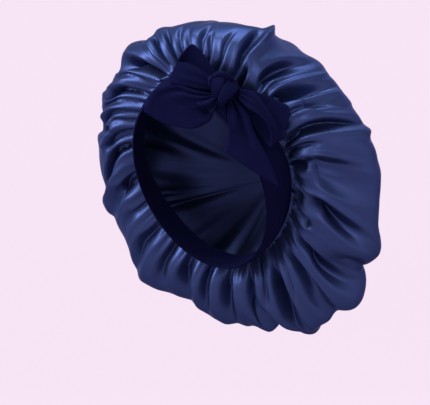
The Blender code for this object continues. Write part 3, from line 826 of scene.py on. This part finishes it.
def satin_finish(name):
    """Glossy woven satin: long floats, faint slubs, and a soft coloured sheen."""
    look = Shader(name)
    colour = bpy.context.scene.bonnet_finishes.satin
    u, v = look.uv()
    thread = (u * (2 * math.pi / THREAD)).sine() * 0.5 + 0.5
    floats = look.grain(u * 900, v * 90, 2.0)
    slubs = look.grain(u * 240, v * 14, 3.0)
    soft = look.grain(u * 14, v * 9, 2.0)
    tint = (slubs - 0.5) * 0.5 + (soft - 0.5) * 0.7 + 0.5
    look.set(
        Base_Color=look.mixed(tint, shade(colour, 0.86), shade(colour, 1.16)),
        Metallic=0.8,
        Roughness=0.43 + (slubs - 0.5) * 0.12 + (floats - 0.5) * 0.06,
        Specular_IOR_Level=0.2,
        Specular_Tint=(0.22, 0.26, 0.34, 1.0),
        Anisotropic=0.3,
    )
    look.bump(thread * 0.25 + floats * 0.5 + slubs * 0.8, 0.10)
    return look.made


def jersey_finish(name):
    """Matt stretch jersey: columns of small knit loops under a short fuzz."""
    look = Shader(name)
    colour = bpy.context.scene.bonnet_finishes.jersey
    u, v = look.uv()
    column, row = u / KNIT_COLUMN, v / KNIT_ROW
    leg = (column.part() - 0.5).size()
    loop = (row + leg * 0.9).part()
    height = (1 - (loop - 0.5).size() * 2) * (1 - (leg - 0.28).size() * 2.2)
    fuzz = look.grain(u * 700, v * 700, 3.0)
    soft = look.grain(u * 22, v * 22, 2.0)
    # The colour varies at random with the fuzz and in soft patches, and is painted lighter on the
    # raised knit loops: painted shade between the loops.
    tint = (fuzz - 0.5) * 0.9 + (soft - 0.5) * 0.6 + height * 0.25 + 0.4
    look.set(
        Base_Color=look.mixed(tint, shade(colour, 0.72), shade(colour, 1.45)),
        Roughness=0.84 + (fuzz - 0.5) * 0.2,
        Specular_IOR_Level=0.0,
        Sheen_Weight=0.02,
        Sheen_Roughness=0.5,
        Sheen_Tint=(0.15, 0.17, 0.6, 1.0),
    )
    look.bump(height * 0.8 + fuzz * 0.5, 0.35)
    return look.made


def backdrop_finish():
    """A pale backdrop that glows from within, with painted shade on the floor under the bonnet.
    """
    look = Shader("backdrop")
    colour = bpy.context.scene.bonnet_stage.backdrop
    place = look.node("ShaderNodeTexCoord").outputs["Object"]
    cloudy = look.noise(place, 0.8, 1.0)
    parts = look.node("ShaderNodeSeparateXYZ", Vector=place)
    x, y, z = (look.value(parts.outputs[axis]) for axis in "XYZ")
    # Paler far off than under the bonnet, where the floor glows darker as painted shade, and
    # dimmer high up.
    far = look.eased((x * x + y * y) ** 0.5, *FLOOR_CHANGES)
    high = look.eased(z, *FLOOR_CHANGES)
    # The floor's glow, darkened under the bonnet as painted shade.
    floor_glow_with_painted_shade = look.mixed(far, shade(colour, 0.62), shade(colour, 1.0))
    look.set(
        Base_Color=look.mixed(cloudy, shade(colour, 0.095), shade(colour, 0.1)),
        Roughness=0.9,
        Specular_IOR_Level=0.0,
        Emission_Color=look.mixed(high, floor_glow_with_painted_shade, shade(colour, 0.35)),
        Emission_Strength=0.915,
    )
    return look.made


def finish_named(name, maker):
    """The finish of that name, made the first time it's asked for."""
    return bpy.data.materials.get(name) or maker(name)


def add_mesh(name, points, skins, look):
    """A smooth-shaded object from points and skins.

    A skin is a list of faces with the cloth coordinates of each of their corners.
    """
    mesh = bpy.data.meshes.new(name)
    mesh.from_pydata(points.tolist(), [], [face for faces, _ in skins for face in faces])
    layer = mesh.uv_layers.new(name="cloth")
    corners = np.concatenate([corners for _, corners in skins])
    layer.data.foreach_set("uv", corners.astype(np.float32).ravel())
    mesh.polygons.foreach_set("use_smooth", np.ones(len(mesh.polygons), bool))
    mesh.materials.append(look)
    mesh.validate()
    made = bpy.data.objects.new(name, mesh)
    bpy.context.scene.collection.objects.link(made)
    return made


def skin(faces, corners, flip):
    """Faces and their corners' cloth coordinates, turned the other way round on flip."""
    step = -1 if flip else 1
    return faces[:, ::step].tolist(), corners[:, ::step].reshape(-1, 2)


def grid_skin(uv, columns, start, flip):
    """Quads over a grid of points that start at an index.

    The grid closes into a ring if its cloth coordinates have one column more than it has.
    """
    row, column = np.indices((uv.shape[0] - 1, uv.shape[1] - 1)).reshape(2, -1)
    after = (column + 1) % columns
    faces = start + np.stack([
        row * columns + column, row * columns + after,
        (row + 1) * columns + after, (row + 1) * columns + column,
    ], 1)
    corners = np.stack([
        uv[row, column], uv[row, column + 1], uv[row + 1, column + 1], uv[row + 1, column],
    ], 1)
    return skin(faces, corners, flip)


def strip_skin(one, other, one_uv, other_uv, flip):
    """Quads from one loop of points to another."""
    faces = np.stack([one, np.roll(one, -1), np.roll(other, -1), other], 1)
    corners = np.stack([one_uv[:-1], one_uv[1:], other_uv[1:], other_uv[:-1]], 1)
    return skin(faces, corners, flip)


def fan_skin(loop, tip, uv, onward, flip):
    """Triangles from a loop of points to its tip, which lies onward along the cloth."""
    faces = np.stack([loop, np.roll(loop, -1), np.full_like(loop, tip)], 1)
    corners = np.stack([uv[:-1], uv[1:], uv[:-1] + [0, onward]], 1)
    return skin(faces, corners, flip)


def cloth_shell(name, outer, inner, outer_uv, inner_uv, look, tips=None):
    """A thin closed cloth between two ringed grids, open at both ends or closed at tips."""
    columns = outer.shape[1]
    start = len(outer) * columns
    around = np.arange(columns)
    outer_end, inner_end = start - columns + around, start + (len(inner) - 1) * columns + around
    points = np.concatenate([outer.reshape(-1, 3), inner.reshape(-1, 3)])
    skins = [
        grid_skin(outer_uv, columns, 0, True), grid_skin(inner_uv, columns, start, False),
        strip_skin(around, start + around, outer_uv[0], inner_uv[0], True),
    ]
    if tips is None:
        skins.append(strip_skin(outer_end, inner_end, outer_uv[-1], inner_uv[-1], False))
    else:
        skins.append(fan_skin(outer_end, len(points), outer_uv[-1], TIP_STEP, True))
        skins.append(fan_skin(inner_end, len(points) + 1, inner_uv[-1], TIP_STEP, False))
        points = np.concatenate([points, tips])
    return add_mesh(name, points, skins, look)


def flat_uv(flow, along):
    """The satin's cloth coordinates in metres: round the seam, and along from it."""
    wide = np.concatenate([flow, flow[:, :1] + 360], 1)
    wide = np.unwrap(wide, axis=1, period=360)
    onward = np.repeat((along * WALL_LENGTH)[:, None], wide.shape[1], 1)
    return np.stack([wide / 360 * 2 * math.pi * SEAM_RADIUS, onward], 2)


def crown_places():
    """Places along the wall, close together by the seam and wider apart over the back."""
    close = [np.linspace(*stretch)[:-1] for stretch in CROWN_STRETCHES]
    return np.concatenate([*close, np.linspace(*BACK_STRETCH)])


class BONNET_OT_crown(bpy.types.Operator):
    """Build the gathered satin crown in place of its plain solid"""

    bl_idname = "bonnet.crown"
    bl_label = "Satin crown"

    def execute(self, context):
        crown = context.scene.bonnet_crown
        angle = np.linspace(0, 2 * math.pi, CROWN_COLUMNS, endpoint=False)
        along = crown_places()
        outer, _, flow = satin_surface(angle, along)
        # The inside is coarser past the seam.
        few = np.concatenate([along[:SEAM_POINTS], along[SEAM_POINTS:-1:2], along[-1:]])
        inner, inner_out, inner_flow = satin_surface(angle, few)
        inner = inner - inner_out * crown.wall
        back = np.array([0.0, crown.crown_back, 0.0])
        made = cloth_shell(
            "satin_crown", outer, inner, flat_uv(flow, along), flat_uv(inner_flow, few),
            finish_named("glossy_satin", satin_finish), [back, back - [0.0, crown.wall, 0.0]],
        )
        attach(made, "root")
        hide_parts("crown")
        return {"FINISHED"}


class BONNET_OT_band(bpy.types.Operator):
    """Build the stretched jersey band in place of its plain solid"""

    bl_idname = "bonnet.band"
    bl_label = "Jersey band"

    def execute(self, context):
        band = context.scene.bonnet_band
        angle = np.linspace(0, 2 * math.pi, BAND_COLUMNS, endpoint=False)
        shares = np.linspace(0, 1, BAND_ROWS)
        outer, inner = [], []
        for share in shares:
            hem = HEM_RISE * math.exp(-((share - HEM_PLACE) / HEM_SPREAD) ** 2)
            round_off = max(0.0, 1 - share / HEM_ROLL) ** 2
            roll = band.wall / 2 * math.sqrt(max(0.0, 1 - round_off))
            crease = np.zeros_like(angle)
            for middle, wave, depth, turn in BAND_CREASES:
                line = middle + wave * np.sin(angle * 2 + turn)
                line += CREASE_WOBBLE * np.sin(angle * 5 + turn)
                swell = np.sin(angle * 1.5 + turn * 2) ** 2
                strength = CREASE_LEAST + (1 - CREASE_LEAST) * swell
                crease -= depth * strength * np.exp(-(((share - line) / CREASE_SPREAD) ** 2))
            shape = band_ring(angle, share)
            out = band_ring(angle, share, 1.0) - shape
            out /= np.linalg.norm(out, axis=1, keepdims=True)
            outer.append(shape + out * (roll + hem + crease)[:, None])
            inner.append(shape + out * (-roll + crease * CREASE_INSIDE)[:, None])
        long, wide = BAND_CLOTH
        round_it = np.linspace(0, long, len(angle) + 1)
        uv = np.stack(np.meshgrid(round_it, shares * wide), 2)
        made = cloth_shell(
            "jersey_band", np.array(outer), np.array(inner), uv, uv,
            finish_named("knit_jersey", jersey_finish),
        )
        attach(made, "root")
        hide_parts("band")
        return {"FINISHED"}


def bow_axes():
    """Across, up and out for someone who looks straight at the bow."""
    turn = bpy.context.scene.bonnet_bow.turn
    c, s = math.cos(turn), math.sin(turn)
    return np.array([c, s, 0.0]), np.array([0.0, 0.0, 1.0]), np.array([s, -c, 0.0])


def bow_place():
    """The spot on the band's outer face that the knot sits on."""
    bow, band = bpy.context.scene.bonnet_bow, bpy.context.scene.bonnet_band
    return band_ring(np.array([bow.angle]), bow.share, band.wall / 2)[0]


def tree_of(made):
    """An object's faces, ready to be searched."""
    mesh = made.data
    return BVHTree.FromPolygons(
        [v.co for v in mesh.vertices], [tuple(p.vertices) for p in mesh.polygons]
    )


def lift_clear(points, trees, way, need):
    """Move points along way until each one is at least need away from every tree."""
    moved = []
    way = Vector(way)
    for point in points:
        here = Vector(point)
        for tree in trees:
            hit = tree.ray_cast(here + way * LOOK_FROM, -way, LOOK_FROM)
            if hit[0] is not None and 0 < (hit[0] - here).dot(way) < DEEPEST:
                here = hit[0] + way * need
        for _ in range(TRIES):
            short = max(need - tree.find_nearest(here)[3] for tree in trees)
            if short <= 0:
                break
            here = here + way * (short + NUDGE)
        moved.append(tuple(here))
    return np.array(moved)


def widened(lift):
    """Carry each lift over to the neighbours on the grid."""
    for _ in range(WIDENINGS):
        padded = np.pad(lift, 1, mode="edge")
        rows, columns = lift.shape
        lift = np.max([
            padded[i:i + rows, j:j + columns] * (1.0 if i == j == 1 else WIDENED_SHARE)
            for i in range(3) for j in range(3)
        ], axis=0)
    return lift


def ribbon_surface(table, folds, end_curve):
    """A smooth sheet through the cross lines of one piece of ribbon, with its folds."""
    across, up, out = bow_axes()
    width = bpy.context.scene.bonnet_bow.ribbon_width
    rows = np.array(table, float) * width
    first, second = (
        even_curve(
            bow_place() + part[:, :1] * across + part[:, 1:2] * up
            + (part[:, 2:] + KNOT_HEIGHT * width * RIBBON_STANDS) * out,
            RIBBON_ROWS,
        )
        for part in (rows[:, :3], rows[:, 3:])
    )
    share = np.linspace(0, 1, RIBBON_COLUMNS)
    grid = first[:, None] * (1 - share[None, :, None]) + second[:, None] * share[None, :, None]
    along = np.linspace(0, 1, RIBBON_ROWS)[:, None]
    centre = RIBBON_COLUMNS // 2
    onward = grid[-1, centre] - grid[-3, centre]
    onward /= np.linalg.norm(onward)
    curve = end_curve * width * along**4 * np.sin(math.pi * share)[None, :]
    grid = grid + curve[:, :, None] * onward
    relief = np.zeros(grid.shape[:2])
    for at_knot, at_end, start, end, half, height in folds:
        t = np.clip((along - start) / (end - start), 0, 1)
        middle = at_knot + (at_end - at_knot) * t
        s = (share[None, :] - middle) / half
        # A fold that starts at the knot comes out of it at its full height.
        first, last = FOLD_ENDS
        fade = (1.0 if start == 0 else smooth(t / first)) * smooth((1 - t) / last)
        relief += height * width * np.exp(-s * s) * fade
    return grid + grid_normals(grid) * relief[:, :, None]


def grid_normals(grid):
    """The direction square to a grid of points at each of them."""
    normal = np.cross(np.gradient(grid, axis=0), np.gradient(grid, axis=1))
    return normal / np.maximum(np.linalg.norm(normal, axis=2, keepdims=True), 1e-12)


def sheet_area(grid):
    """The area of a sheet given as a grid of points."""
    one = np.cross(grid[1:, :-1] - grid[:-1, :-1], grid[:-1, 1:] - grid[:-1, :-1])
    other = np.cross(grid[:-1, 1:] - grid[1:, 1:], grid[1:, :-1] - grid[1:, 1:])
    return float(np.linalg.norm(one, axis=2).sum() + np.linalg.norm(other, axis=2).sum()) / 2


def add_ribbon(name, solid, table, folds, end_curve, knit_length, trees, knot):
    """One loop or tail: a hemmed strip that clears the band, the crown and the knot."""
    out = bow_axes()[2]
    bow = bpy.context.scene.bonnet_bow
    half = bow.ribbon_wall / 2
    grid = ribbon_surface(table, folds, end_curve)
    need = half + RIBBON_CLEAR
    raised = lift_clear(grid.reshape(-1, 3), trees, out, need).reshape(grid.shape)
    grid = grid + widened((raised - grid) @ out)[:, :, None] * out
    away = grid.reshape(-1, 3) - bow_place()
    away /= np.linalg.norm(away, axis=1, keepdims=True)
    grid = np.array([
        lift_clear([point], [knot], way, half)[0]
        for point, way in zip(grid.reshape(-1, 3), away)
    ]).reshape(grid.shape)
    share = np.linspace(0, 1, RIBBON_COLUMNS)
    rim = np.minimum(share, 1 - share) * bow.ribbon_width
    edge = np.sqrt(np.clip(1 - np.clip(1 - rim / TIE_EDGE, 0, 1) ** 2, TIE_LEAST, 1))
    hem = 1 + TIE_HEM_RISE * np.exp(-(((rim - TIE_HEM) / TIE_HEM_SPREAD) ** 2))
    thick = (half * edge * hem)[None, :, None] * np.ones((RIBBON_ROWS, 1, 1))
    thick[-1] *= TIE_END
    normal = grid_normals(grid)
    one, other = grid + normal * thick, grid - normal * thick
    points = np.concatenate([one.reshape(-1, 3), other.reshape(-1, 3)])
    along = np.linspace(0, knit_length, RIBBON_ROWS)
    uv = np.stack(np.meshgrid(along, share * bow.ribbon_width, indexing="ij"), 2)
    count = RIBBON_ROWS * RIBBON_COLUMNS
    index = np.arange(count).reshape(RIBBON_ROWS, RIBBON_COLUMNS)
    border = np.concatenate([index[0], index[1:, -1], index[-1, -2::-1], index[-2:0:-1, 0]])
    border_uv = uv.reshape(-1, 2)[np.append(border, border[0])]
    skins = [
        grid_skin(uv, RIBBON_COLUMNS, 0, False), grid_skin(uv, RIBBON_COLUMNS, count, True),
        strip_skin(border, border + count, border_uv, border_uv, True),
    ]
    made = add_mesh(name, points, skins, finish_named("knit_jersey", jersey_finish))
    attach(made, "root")
    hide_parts(solid)
    middle = grid[:, RIBBON_COLUMNS // 2]
    long = float(np.linalg.norm(np.diff(middle, axis=0), axis=1).sum())
    cut = min(sheet_area(grid), bow.ribbon_width * long)


def knot_lump():
    """The closed lump under the knot's straps, in shares of the ribbon's width."""
    angles, distances = np.array([(a, d * LUMP_WIDTH) for a, d in KNOT_OUTLINE]).T
    angle = np.linspace(0, 360, LUMP_COLUMNS, endpoint=False)
    wrapped = np.concatenate([angles - 360, angles, angles + 360])
    here = angle[:, None] + np.linspace(-LUMP_BLUR, LUMP_BLUR, 17)
    outline = np.interp(here, wrapped, np.tile(distances, 3)).mean(1)
    turn = np.radians(angle)
    rows = []
    for lean in np.radians(np.linspace(-LUMP_LEAN, LUMP_LEAN, LUMP_ROWS)):
        aside = math.cos(lean) ** LUMP_POWER
        high = np.full_like(turn, math.sin(lean) * (KNOT_HEIGHT * LUMP_HEIGHT))
        rows.append(np.stack([
            np.cos(turn) * outline * aside, np.sin(turn) * outline * aside, high,
        ], 1))
    return np.array(rows)


def strap_points(table, thickness):
    """A padded strap along its line: an oval tube, flattened, with rounded ends."""
    line = even_curve(np.array(table, float), STRAP_ROWS)
    path, half = line[:, :3], line[:, 3]
    way = np.gradient(path, axis=0)
    way /= np.linalg.norm(way, axis=1, keepdims=True)
    out = path * [0.6, 0.6, 1.0] + [0, 0, 0.25]
    side = np.cross(way, out)
    side /= np.linalg.norm(side, axis=1, keepdims=True)
    up = np.cross(side, way)
    turn = np.linspace(0, 2 * math.pi, STRAP_COLUMNS, endpoint=False)
    c, s = np.cos(turn), np.sin(turn)
    flat = np.sign(s) * np.abs(s) ** STRAP_POWER
    end = np.sqrt(np.clip(1 - (np.linspace(-1, 1, len(path)) ** 2) ** 6, STRAP_TIP, 1))
    return (
        path[:, None]
        + side[:, None] * (half * end)[:, None, None] * c[None, :, None]
        + up[:, None] * (thickness * end)[:, None, None] * flat[None, :, None]
    )


def closed_tube(grid, start):
    """Points and skins of a ringed grid whose two ends are closed on added points."""
    rows, columns = grid.shape[:2]
    points = np.concatenate([grid.reshape(-1, 3), [grid[0].mean(0), grid[-1].mean(0)]])
    round_it = np.arange(columns + 1) / columns * KNOT_CLOTH
    uv = np.stack(np.meshgrid(round_it, np.arange(rows) / rows * KNOT_CLOTH), 2)
    low, top = start + np.arange(columns), start + (rows - 1) * columns + np.arange(columns)
    end, end_uv = start + rows * columns, np.zeros((columns + 1, 2))
    return points, [
        grid_skin(uv, columns, start, False), fan_skin(low, end, end_uv, 0, True),
        fan_skin(top, end + 1, end_uv, 0, False),
    ]


class BONNET_OT_bow(bpy.types.Operator):
    """Build the bow's knot, loops and tails in place of their plain solids"""

    bl_idname = "bonnet.bow"
    bl_label = "Jersey bow"

    def execute(self, context):
        across, up, out = bow_axes()
        width = context.scene.bonnet_bow.ribbon_width
        base = bow_place() + out * KNOT_HEIGHT * width * KNOT_STANDS
        pieces, skins, start = [], [], 0
        for grid in (knot_lump(), *(strap_points(*strap) for strap in STRAPS)):
            shape = grid[..., :1] * across + grid[..., 1:2] * up + grid[..., 2:] * out
            points, tube = closed_tube(base + shape * width, start)
            pieces.append(points)
            skins += tube
            start += len(points)
        below = [tree_of(bpy.data.objects[name]) for name in ("jersey_band", "satin_crown")]
        points = lift_clear(np.concatenate(pieces), below, out, KNOT_CLEAR)
        look = finish_named("knit_jersey", jersey_finish)
        knot = add_mesh("bow_knot_wrap", points, skins, look)
        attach(knot, "root")
        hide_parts("bow_knot")
        tree = tree_of(knot)
        for ribbon in RIBBONS:
            add_ribbon(*ribbon, below, tree)
        return {"FINISHED"}


def add_light(name, place, size, power):
    """A soft square light that faces the origin."""
    light = bpy.data.lights.new(name, "AREA")
    light.size, light.energy = size, power
    made = bpy.data.objects.new(name, light)
    made.location = place
    made.rotation_euler = (-place).to_track_quat("-Z", "Y").to_euler()
    bpy.context.scene.collection.objects.link(made)


def floor_mesh(drop):
    """A floor that curves up into a wall, and reaches far round every side."""
    flat = FLOOR_FAR - FLOOR_BEND
    profile = [(flat, 0.0)]
    profile += [
        (flat + FLOOR_BEND * math.sin(a), FLOOR_BEND - FLOOR_BEND * math.cos(a))
        for a in np.linspace(0.1, math.pi / 2, 14)
    ]
    profile.append((FLOOR_FAR, WALL_HIGH))
    turns = np.linspace(0, 2 * math.pi, FLOOR_COLUMNS, endpoint=False)
    points = [(0, 0, -drop)] + [
        (x * FLOOR_SPREAD * math.cos(t), x * FLOOR_SPREAD * math.sin(t), y - drop)
        for x, y in profile for t in turns
    ]
    uv = np.zeros((len(profile), FLOOR_COLUMNS + 1, 2))
    skins = [
        fan_skin(1 + np.arange(FLOOR_COLUMNS), 0, uv[0], 0, False),
        grid_skin(uv, FLOOR_COLUMNS, 1, True),
    ]
    return add_mesh("pale_floor", np.array(points), skins, backdrop_finish())


class BONNET_OT_stage(bpy.types.Operator):
    """Add the pale floor, the soft lights and the camera"""

    bl_idname = "bonnet.stage"
    bl_label = "Stage"

    def execute(self, context):
        stage = context.scene.bonnet_stage
        turn = stage.camera_turn
        right = Vector((math.cos(turn), math.sin(turn), 0))
        back = Vector((math.sin(turn), -math.cos(turn), 0))
        floor_mesh(stage.floor_drop)
        camera = bpy.data.cameras.new("photo_camera")
        camera.sensor_width = SENSOR
        camera.lens = SENSOR * stage.camera_far / (PHOTO_WIDTH * METRES_A_PIXEL)
        made = bpy.data.objects.new("photo_camera", camera)
        aside = (PHOTO_MIDDLE[0] - PHOTO_ORIGIN[0]) * METRES_A_PIXEL
        high = (PHOTO_ORIGIN[1] - PHOTO_MIDDLE[1]) * METRES_A_PIXEL
        made.location = right * aside + Vector((0, 0, high)) + back * stage.camera_far
        made.rotation_euler = (math.radians(90), 0, turn)
        context.scene.collection.objects.link(made)
        context.scene.camera = made
        world = bpy.data.worlds.new("studio")
        world.use_nodes = True
        sky = world.node_tree.nodes["Background"]
        sky.inputs["Color"].default_value = SKY
        sky.inputs["Strength"].default_value = SKY_STRENGTH
        context.scene.world = world
        for name, near, beside, up, size, power in LIGHTS:
            add_light(name, back * near + right * beside + Vector((0, 0, up)), size, power)
        context.scene.view_settings.view_transform = "Standard"
        return {"FINISHED"}


class BONNET_PT_panel(bpy.types.Panel):
    """Lists the bonnet's builders and their sizes"""

    bl_label = "Satin sleep bonnet"
    bl_idname = "BONNET_PT_panel"
    bl_space_type = "VIEW_3D"
    bl_region_type = "UI"
    bl_category = "Bonnet"

    def draw(self, context):
        layout = self.layout
        for operator, groups in (
            ("bonnet.crown", ("bonnet_crown", "bonnet_finishes")),
            ("bonnet.band", ("bonnet_band",)),
            ("bonnet.bow", ("bonnet_bow",)),
            ("bonnet.stage", ("bonnet_stage",)),
        ):
            box = layout.box()
            box.operator(operator)
            for group in groups:
                owner = getattr(context.scene, group)
                for name in owner.__annotations__:
                    box.prop(owner, name)


CLASSES = (
    CrownSizes, BandSizes, BowSizes, Finishes, StageSizes,
    BONNET_OT_crown, BONNET_OT_band, BONNET_OT_bow, BONNET_OT_stage, BONNET_PT_panel,
)
GROUPS = {
    "bonnet_crown": CrownSizes,
    "bonnet_band": BandSizes,
    "bonnet_bow": BowSizes,
    "bonnet_finishes": Finishes,
    "bonnet_stage": StageSizes,
}


def register():
    """Make the panel, the operators and the sizes known."""
    for made in CLASSES:
        bpy.utils.register_class(made)
    for name, group in GROUPS.items():
        setattr(bpy.types.Scene, name, PointerProperty(type=group))


def unregister():
    """Take them away again."""
    for name in GROUPS:
        delattr(bpy.types.Scene, name)
    for made in reversed(CLASSES):
        bpy.utils.unregister_class(made)


def main():
    """Build the whole bonnet and its stage."""
    register()
    bpy.ops.bonnet.stage()
    bpy.ops.bonnet.band()
    bpy.ops.bonnet.crown()
    bpy.ops.bonnet.bow()
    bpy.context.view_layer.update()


if __name__ == "__main__":
    main()
